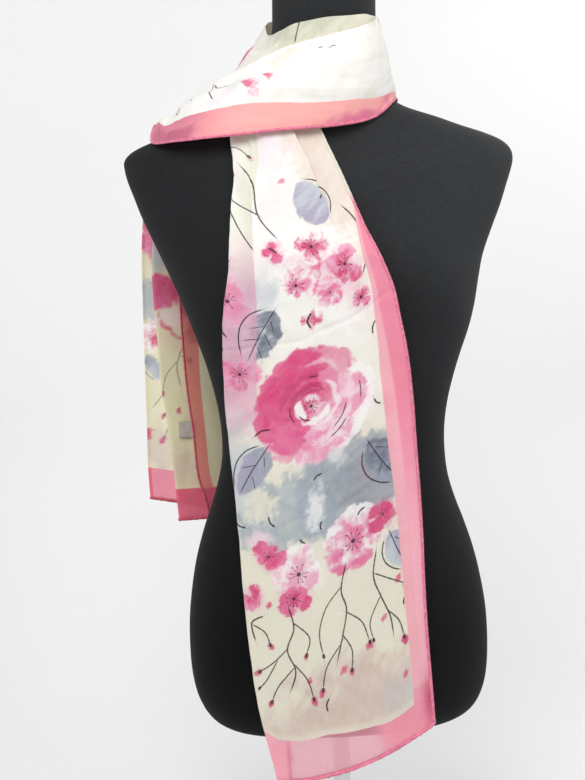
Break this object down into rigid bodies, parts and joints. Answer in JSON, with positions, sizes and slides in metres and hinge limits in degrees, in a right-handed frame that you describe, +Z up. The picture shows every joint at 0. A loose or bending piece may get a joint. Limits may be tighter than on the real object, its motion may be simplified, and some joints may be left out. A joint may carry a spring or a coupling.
{
  "type": "chiffon scarf on a limbless dress form",
  "caption": "Sheer floral chiffon scarf wound round the neck of a limbless black dress form, its tails hanging in front and behind the shoulder, on a round stand.",
  "frame": {"origin": "centre of the stand base's underside, on the surface it stands on", "axes": "+Z up along the form, -Y towards the form's front, +X to the viewer's right"},
  "size_m": [0.399, 0.28, 0.942],
  "materials": {
    "black_jersey": "matte knitted cover",
    "printed_chiffon": "sheer plain weave, soft sheen, printed",
    "label_tape": "matte woven tape",
    "white_enamel": "semi gloss"
  },
  "bodies": {
    "root": {"dress_form": "black_jersey", "stand_pole": "white_enamel", "stand_base": "white_enamel", "front_tail": "printed_chiffon", "neck_wrap": "printed_chiffon", "back_tail": "printed_chiffon", "care_label": "label_tape"}
  },
  "joints": []
}
